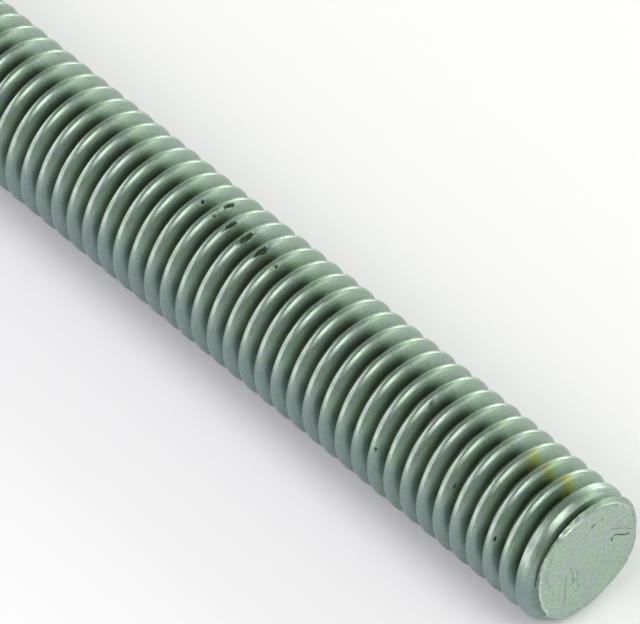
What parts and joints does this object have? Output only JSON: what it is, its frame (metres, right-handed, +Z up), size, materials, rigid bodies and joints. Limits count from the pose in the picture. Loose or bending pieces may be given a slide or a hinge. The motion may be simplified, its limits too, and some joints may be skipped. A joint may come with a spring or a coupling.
{
  "type": "threaded rod",
  "caption": "Straight steel rod with a metric right-hand thread along its whole length, cut square and chamfered at both ends.",
  "frame": {"origin": "middle of the rod's length, on its axis", "axes": "+X along the axis towards the end shown nearest in the view, +Z up with the rod lying level"},
  "size_m": [0.08, 0.008, 0.008],
  "materials": {
    "zinc_steel": "dull zinc-coated rolled steel, grey with a green cast, satin"
  },
  "bodies": {
    "root": {"threaded_rod": "zinc_steel"}
  },
  "joints": []
}
